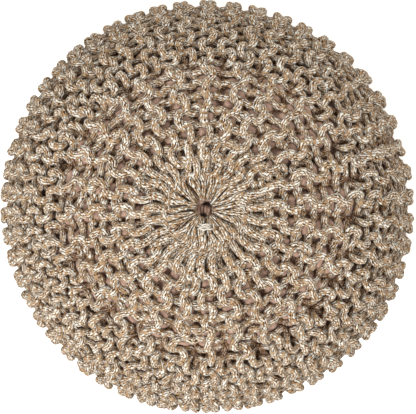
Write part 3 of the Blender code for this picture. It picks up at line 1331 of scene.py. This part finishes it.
@dataclass(frozen=True)
class Wiring:
    """Adds nodes to one node tree and joins them."""

    tree: bpy.types.NodeTree

    def feed(self, node: bpy.types.Node, inputs: dict) -> None:
        """Set a node's inputs, or join them to what feeds them.

        Args:
            node: the node.
            inputs: values or sockets, by the input's name or number.
        """
        for key, value in inputs.items():
            if isinstance(value, bpy.types.NodeSocket):
                self.tree.links.new(value, node.inputs[key])
            else:
                node.inputs[key].default_value = value

    def add(self, kind: str, inputs: dict, **settings: object) -> bpy.types.Node:
        """Add one node.

        Args:
            kind: Blender's name of the node type.
            inputs: values or sockets, by the input's name or number.
            **settings: properties of the node.

        Returns:
            The node.
        """
        node = self.tree.nodes.new(kind)
        for name, value in settings.items():
            setattr(node, name, value)
        self.feed(node, inputs)
        return node

    def math(
        self, operation: str, first: object, second: object = 0.0, third: object = 0.0
    ) -> bpy.types.NodeSocket:
        """Add a Math node and return its result."""
        return self.add("ShaderNodeMath", {0: first, 1: second, 2: third}, operation=operation).outputs[0]

    def join(self, x: object, y: object, z: object) -> bpy.types.NodeSocket:
        """Join three values into a vector and return it."""
        return self.add("ShaderNodeCombineXYZ", {0: x, 1: y, 2: z}).outputs[0]

    def mix(self, share: object, first: object, second: object, blend: str = "MIX") -> bpy.types.NodeSocket:
        """Mix two colours and return the result."""
        inputs = {0: share, MIX_FIRST: first, MIX_SECOND: second}
        return self.add("ShaderNodeMix", inputs, data_type="RGBA", blend_type=blend).outputs[MIX_RESULT]

    def tint(self, colour: object, tint: object) -> bpy.types.NodeSocket:
        """Multiply two colours and return the result."""
        return self.mix(1.0, colour, tint, "MULTIPLY")

    def ramp(self, value: object, low: object, high: object) -> bpy.types.NodeSocket:
        """Turn a value into a soft-edged mask.

        Args:
            value: what is masked.
            low: value below which the mask is 0.
            high: value above which it is 1.

        Returns:
            The mask.
        """
        ends = {"Value": value, "From Min": low, "From Max": high}
        return self.add("ShaderNodeMapRange", ends, interpolation_type="SMOOTHSTEP").outputs["Result"]

    def noise(self, vector: object, scale: float, detail: float = 2.0) -> bpy.types.NodeSocket:
        """Add a noise texture and return its value."""
        node = self.add("ShaderNodeTexNoise", {"Vector": vector, "Scale": scale, "Detail": detail})
        return node.outputs["Fac"]


def opaque(colour: Colour) -> tuple[float, float, float, float]:
    """Give a colour its alpha."""
    return (*colour, 1.0)


def new_material(name: str) -> tuple[bpy.types.Material, Wiring, bpy.types.Node]:
    """Start a material.

    Args:
        name: the material's name.

    Returns:
        The material, the wiring of its nodes, and its shader.
    """
    material = bpy.data.materials.new(name)
    material.use_nodes = True
    return material, Wiring(material.node_tree), material.node_tree.nodes["Principled BSDF"]


def new_group(name: str, inputs: dict[str, str], outputs: dict[str, str]) -> bpy.types.NodeTree:
    """Start a shader node group.

    Args:
        name: the group's name.
        inputs: socket types by input name.
        outputs: socket types by output name.

    Returns:
        The empty group with its sockets.
    """
    group = bpy.data.node_groups.new(name, "ShaderNodeTree")
    for socket, kind in inputs.items():
        group.interface.new_socket(name=socket, in_out="INPUT", socket_type=kind)
    for socket, kind in outputs.items():
        group.interface.new_socket(name=socket, in_out="OUTPUT", socket_type=kind)
    return group


@dataclass(frozen=True)
class PlyPattern:
    """Node group of the marled yarn: wavy flecks along the strand, light or dark, on a tan ground."""

    name: str = "marl_pattern"
    radius: float = 0.00465
    threads: int = 9
    lane_share: float = 0.135
    light_length: float = 0.0028
    dark_length: float = 0.0027
    fibre_size: tuple[float, float] = (0.00080, 0.0018)
    sway_size: tuple[float, float] = (0.0045, 0.0027)
    waviness: float = 0.085
    rag_share: float = 0.20
    rim_width: float = 0.10
    rim_tint: Colour = (0.70, 0.62, 0.51)
    warmth: tuple[float, float] = (1.15, 1.38)
    # Painted shade: a darker tint laid on the yarn where it lies deep below the knit's surface, in place of
    # the shadow in the furrows.
    painted_shade_tint: Colour = (0.44, 0.305, 0.225)
    drawn_threads: int = 5
    painted_shade_from: float = 0.0074
    painted_shade_to: float = 0.0150
    painted_shade_share: float = 0.86
    sway_seed: float = 31.0
    fibre_seed: float = 5.0
    thread_seed: float = 7.31
    light_seed: float = 3.7
    dark_seed: float = 51.3
    slub_seed: float = 9.0
    light_edge: float = 0.03
    dark_edge: float = 0.10
    slub_length: float = 0.05
    slub_tone: float = 0.20
    fibre_tone: float = 0.90
    least_tone: float = 0.45
    roughness: float = 0.92
    light_gloss: float = 0.15
    light_height: float = 0.5

    def build(self) -> bpy.types.NodeTree:
        """Make the group.

        Returns:
            The group, with inputs for the three colours and for how much of each fleck there is.
        """
        group = new_group(
            self.name,
            {
                "Ground": "NodeSocketColor",
                "Light Fleck": "NodeSocketColor",
                "Dark Fleck": "NodeSocketColor",
                "Light From": "NodeSocketFloat",
                "Dark From": "NodeSocketFloat",
            },
            {"Color": "NodeSocketColor", "Roughness": "NodeSocketFloat", "Height": "NodeSocketFloat"},
        )
        wires = Wiring(group)
        given = wires.add("NodeGroupInput", {})
        where = wires.add("ShaderNodeUVMap", {}, uv_map=STRAND_UV)
        apart = wires.add("ShaderNodeSeparateXYZ", {0: where.outputs[0]})
        around, along = apart.outputs[0], apart.outputs[1]

        def on_strand(
            size: tuple[float, float], turned: object, seed: float, detail: float
        ) -> bpy.types.NodeSocket:
            """Add noise on the strand's round surface.

            Args:
                size: width and length of its cells.
                turned: place round the strand, as a share of a turn.
                seed: shift that makes the noise differ from the others.
                detail: how many finer layers it has.

            Returns:
                The noise.
            """
            angle = wires.math("MULTIPLY", turned, FULL_TURN)
            girth = self.radius / size[0]
            x = wires.math("MULTIPLY_ADD", wires.math("COSINE", angle), girth, seed)
            y = wires.math("MULTIPLY", wires.math("SINE", angle), girth)
            return wires.noise(wires.join(x, y, wires.math("DIVIDE", along, size[1])), 1.0, detail)

        sway = wires.math("SUBTRACT", on_strand(self.sway_size, around, self.sway_seed, 1.0), 0.5)
        swayed = wires.math("MULTIPLY_ADD", sway, self.waviness * 2.0, around)
        fibre = on_strand(self.fibre_size, swayed, self.fibre_seed, 2.0)
        rag = wires.math("SUBTRACT", fibre, 0.5)
        drawn = wires.add("ShaderNodeAttribute", {}, attribute_name=DRAWN).outputs["Fac"]
        fewer = float(self.drawn_threads - self.threads)
        threads = wires.math("MULTIPLY_ADD", drawn, fewer, float(self.threads))
        counted = wires.math("MULTIPLY", swayed, threads)
        number = wires.math("WRAP", wires.math("FLOOR", counted), float(self.threads), 0.0)
        lane = wires.math("COSINE", wires.math("MULTIPLY", counted, FULL_TURN))

        def flecks(length: float, seed: float, side: float) -> bpy.types.NodeSocket:
            """Add ragged noise that differs from thread to thread and changes along each one.

            Args:
                length: length of a fleck along the thread.
                seed: shift that makes the noise differ from the others.
                side: 1 where the flecks keep to the middle of their lanes, -1 where they keep to the sides.

            Returns:
                The noise, which a mask is cut from.
            """
            place = wires.math("MULTIPLY_ADD", number, self.thread_seed, seed)
            streak = wires.noise(wires.join(place, wires.math("DIVIDE", along, length), 0.0), 1.0, 1.0)
            streak = wires.math("MULTIPLY_ADD", lane, -side * self.lane_share, streak)
            return wires.math("MULTIPLY_ADD", rag, side * self.rag_share, streak)

        light_from, dark_from = given.outputs["Light From"], given.outputs["Dark From"]
        light = flecks(self.light_length, self.light_seed, 1.0)
        dark = flecks(self.dark_length, self.dark_seed, -1.0)
        light_mask = wires.ramp(light, light_from, wires.math("ADD", light_from, self.light_edge))
        dark_mask = wires.ramp(dark, dark_from, wires.math("ADD", dark_from, self.dark_edge))
        rim_mask = wires.ramp(light, wires.math("SUBTRACT", light_from, self.rim_width), light_from)

        colour = wires.mix(dark_mask, given.outputs["Ground"], given.outputs["Dark Fleck"])
        colour = wires.mix(rim_mask, colour, wires.tint(colour, opaque(self.rim_tint)))
        colour = wires.mix(light_mask, colour, given.outputs["Light Fleck"])
        slub_place = wires.join(0.0, wires.math("DIVIDE", along, self.slub_length), self.slub_seed)
        tone = wires.math("MULTIPLY_ADD", fibre, self.fibre_tone, self.least_tone)
        tone = wires.math("MULTIPLY_ADD", wires.noise(slub_place, 1.0), self.slub_tone, tone)
        green, blue = (wires.math("POWER", tone, power) for power in self.warmth)
        colour = wires.tint(colour, wires.join(tone, green, blue))
        # Painted shade: the deeper the yarn lies below the knit's surface, the more it takes the shade tint,
        # standing in for the shadow between the strands.
        sunk = wires.add("ShaderNodeAttribute", {}, attribute_name=SUNK).outputs["Fac"]
        painted_shade_mask = wires.math("MULTIPLY", wires.ramp(sunk, self.painted_shade_from, self.painted_shade_to), self.painted_shade_share)
        colour = wires.mix(painted_shade_mask, colour, wires.tint(colour, opaque(self.painted_shade_tint)))
        roughness = wires.math("MULTIPLY_ADD", light_mask, -self.light_gloss, self.roughness)
        height = wires.math("MULTIPLY_ADD", light_mask, self.light_height, fibre)
        wires.add("NodeGroupOutput", {"Color": colour, "Roughness": roughness, "Height": height})
        return group


@dataclass(frozen=True)
class YarnFinish:
    """Matt marled yarn."""

    name: str
    ground: Colour
    light_fleck: Colour
    dark_fleck: Colour
    light_from: float
    dark_from: float
    bump: float = 0.0007
    specular: float = 0.12

    def build(self, pattern: bpy.types.NodeTree) -> bpy.types.Material:
        """Make the material.

        Args:
            pattern: the ply pattern group.

        Returns:
            The material.
        """
        material, wires, shader = new_material(self.name)
        values = {
            "Ground": opaque(self.ground),
            "Light Fleck": opaque(self.light_fleck),
            "Dark Fleck": opaque(self.dark_fleck),
            "Light From": self.light_from,
            "Dark From": self.dark_from,
        }
        plies = wires.add("ShaderNodeGroup", values, node_tree=pattern)
        relief = {"Height": plies.outputs["Height"], "Strength": 1.0, "Distance": self.bump}
        surface = {
            "Base Color": plies.outputs["Color"],
            "Roughness": plies.outputs["Roughness"],
            "Normal": wires.add("ShaderNodeBump", relief).outputs["Normal"],
            "Specular IOR Level": self.specular,
        }
        wires.feed(shader, surface)
        return material


@dataclass(frozen=True)
class ClothFinish:
    """Plain woven cotton of the casing."""

    name: str = "casing_cloth"
    colour: Colour = (0.43, 0.275, 0.210)
    thread: float = 0.0009
    bands_per_thread: float = 0.32
    band_wobble: float = 0.4
    cloud_scale: float = 60.0
    cloud_tone: float = 0.5
    fuzz_scale: float = 620.0
    fuzz_tone: float = 1.1
    weave_tone: float = 0.14
    bump: float = 0.00012
    bump_strength: float = 0.6
    roughness: float = 0.85
    sheen: float = 0.2

    def build(self) -> bpy.types.Material:
        """Make the material.

        Returns:
            The material.
        """
        material, wires, shader = new_material(self.name)
        place = wires.add("ShaderNodeTexCoord", {}).outputs["Object"]
        scale = self.bands_per_thread / self.thread
        bands = {"Vector": place, "Scale": scale, "Distortion": self.band_wobble}
        warp, weft = (
            wires.add("ShaderNodeTexWave", bands, bands_direction=axis).outputs["Fac"] for axis in ("X", "Y")
        )
        weave = wires.math("MULTIPLY", warp, weft)
        cloudy = wires.noise(place, self.cloud_scale, 3.0)
        fuzz = wires.noise(place, self.fuzz_scale, 2.0)
        plain = 1.0 - self.cloud_tone / 2.0 - self.fuzz_tone / 2.0
        tone = wires.math("MULTIPLY_ADD", cloudy, self.cloud_tone, plain)
        tone = wires.math("MULTIPLY_ADD", fuzz, self.fuzz_tone, tone)
        tone = wires.math("MULTIPLY_ADD", weave, -self.weave_tone, tone)
        relief = {"Height": weave, "Strength": self.bump_strength, "Distance": self.bump}
        surface = {
            "Base Color": wires.tint(opaque(self.colour), wires.join(tone, tone, tone)),
            "Normal": wires.add("ShaderNodeBump", relief).outputs["Normal"],
            "Roughness": self.roughness,
            "Sheen Weight": self.sheen,
        }
        wires.feed(shader, surface)
        return material


@dataclass(frozen=True)
class SoftBox:
    """A square lamp, aimed at the pouf."""

    name: str
    place: tuple[float, float, float]
    size: float
    power: float


@dataclass
class Studio:
    """Pale floor, soft light from the lower left, and a camera straight above."""

    form: PoufForm
    camera_height: float = 4.5
    frame_width: float = 0.5028
    sensor: float = 0.036
    image_centre: tuple[float, float] = (0.0004, -0.0004)
    floor_size: float = 6.0
    floor_colour: Colour = (0.93, 0.925, 0.915)
    floor_bounce: Colour = (0.50, 0.46, 0.41)
    floor_glow: float = 0.42
    floor_roughness: float = 0.9
    lamps: tuple[SoftBox, ...] = (
        SoftBox("key", (-1.15, -1.66, 2.3), 1.0, 56.0),
        SoftBox("fill", (1.6, 1.3, 2.2), 1.8, 10.0),
    )
    sky_colour: Colour = (1.0, 0.967, 0.908)
    sky_foot: float = -0.1
    horizon_light: float = 1.36
    zenith_light: float = 0.84

    def build(self) -> None:
        """Set up the floor, the lamps, the sky and the camera."""
        self._floor()
        for lamp in self.lamps:
            self._lamp(lamp)
        self._sky()
        self._camera()

    def _floor(self) -> None:
        """Lay a large floor under the pouf that looks pale and throws back only part of the light."""
        mesh = bpy.data.meshes.new("floor")
        half = self.floor_size / 2.0
        corners = [(-half, -half, 0.0), (half, -half, 0.0), (half, half, 0.0), (-half, half, 0.0)]
        mesh.from_pydata(corners, [], [(0, 1, 2, 3)])
        material, wires, shader = new_material("floor_paint")
        seen = wires.add("ShaderNodeLightPath", {}).outputs["Is Camera Ray"]
        surface = {
            "Base Color": wires.mix(seen, opaque(self.floor_bounce), opaque(self.floor_colour)),
            "Emission Strength": wires.math("MULTIPLY", seen, self.floor_glow),
            "Emission Color": opaque(self.floor_colour),
            "Roughness": self.floor_roughness,
        }
        wires.feed(shader, surface)
        mesh.materials.append(material)
        link_object("floor", mesh)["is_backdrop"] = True

    def _lamp(self, lamp: SoftBox) -> None:
        """Hang one lamp and aim it at the middle of the pouf.

        Args:
            lamp: where it hangs, how large it is and how strong.
        """
        data = bpy.data.lights.new(lamp.name, "AREA")
        data.size = lamp.size
        data.energy = lamp.power
        light = link_object(lamp.name, data)
        light.location = lamp.place
        aim = np.array([0.0, 0.0, self.form.girth_height]) - np.array(lamp.place)
        pitch = math.atan2(math.hypot(aim[0], aim[1]), -aim[2])
        light.rotation_euler = (pitch, 0.0, math.atan2(aim[1], aim[0]) - math.pi / 2.0)

    def _sky(self) -> None:
        """Light the pouf softly from all round, strongest near the horizon."""
        world = bpy.data.worlds.new("studio")
        world.use_nodes = True
        wires = Wiring(world.node_tree)
        direction = wires.add("ShaderNodeTexCoord", {}).outputs["Generated"]
        upward = wires.add("ShaderNodeSeparateXYZ", {0: direction}).outputs[2]
        rise = self.zenith_light - self.horizon_light
        share = wires.ramp(upward, self.sky_foot, 1.0)
        strength = wires.math("MULTIPLY_ADD", share, rise, self.horizon_light)
        sky = {"Color": opaque(self.sky_colour), "Strength": strength}
        wires.feed(world.node_tree.nodes["Background"], sky)
        bpy.context.scene.world = world
        bpy.context.scene.view_settings.view_transform = "Standard"

    def _camera(self) -> None:
        """Place a long lens straight above, framing the rim."""
        data = bpy.data.cameras.new("overhead")
        data.sensor_width = self.sensor * MM_PER_M
        distance = self.camera_height - self.form.girth_height
        data.lens = data.sensor_width * distance / self.frame_width
        camera = link_object("overhead", data)
        camera.location = (self.image_centre[0], self.image_centre[1], self.camera_height)
        bpy.context.scene.camera = camera


def write_sizes() -> None:
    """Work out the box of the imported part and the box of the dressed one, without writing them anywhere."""
    boxes = {"cad": CAD_BOX, "visual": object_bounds()}
    plain = {name: [[float(value) for value in corner] for corner in box] for name, box in boxes.items()}


def main() -> None:
    """Build the pouf's pieces in order, dress them and report each one."""
    logging.basicConfig(level=logging.INFO, format="%(name)s: %(message)s")
    form = PoufForm()
    plan = RidgePlan(form)
    stitches = StitchPlan(form)
    yarn = Yarn()
    pattern = PlyPattern().build()
    marled = YarnFinish(
        "marled_yarn",
        ground=(0.43, 0.291, 0.171),
        light_fleck=(0.725, 0.718, 0.662),
        dark_fleck=(0.085, 0.035, 0.008),
        light_from=0.557,
        dark_from=0.541,
    )
    cream = YarnFinish(
        "cream_yarn",
        ground=(0.80, 0.74, 0.64),
        light_fleck=(0.97, 0.95, 0.90),
        dark_fleck=(0.45, 0.36, 0.26),
        light_from=0.50,
        dark_from=0.72,
    )

    casing = InnerCasing(form, plan, stitches).build(ClothFinish().build())
    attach(casing, "root")
    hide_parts("inner_casing")
    LOG.info("%s: %d faces", casing.name, len(casing.data.polygons))

    for fan in KnittedCover(form, plan, stitches, yarn).build(marled.build(pattern)):
        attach(fan, "root")
        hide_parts("knitted_cover")
        LOG.info("%s: %d faces", fan.name, len(fan.data.polygons))

    strand = ClosingYarn(form, yarn).build(cream.build(pattern))
    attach(strand, "root")
    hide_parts("closing_yarn")
    LOG.info("%s: %d faces", strand.name, len(strand.data.polygons))

    Studio(form).build()
    write_sizes()


if __name__ == "__main__":
    main()
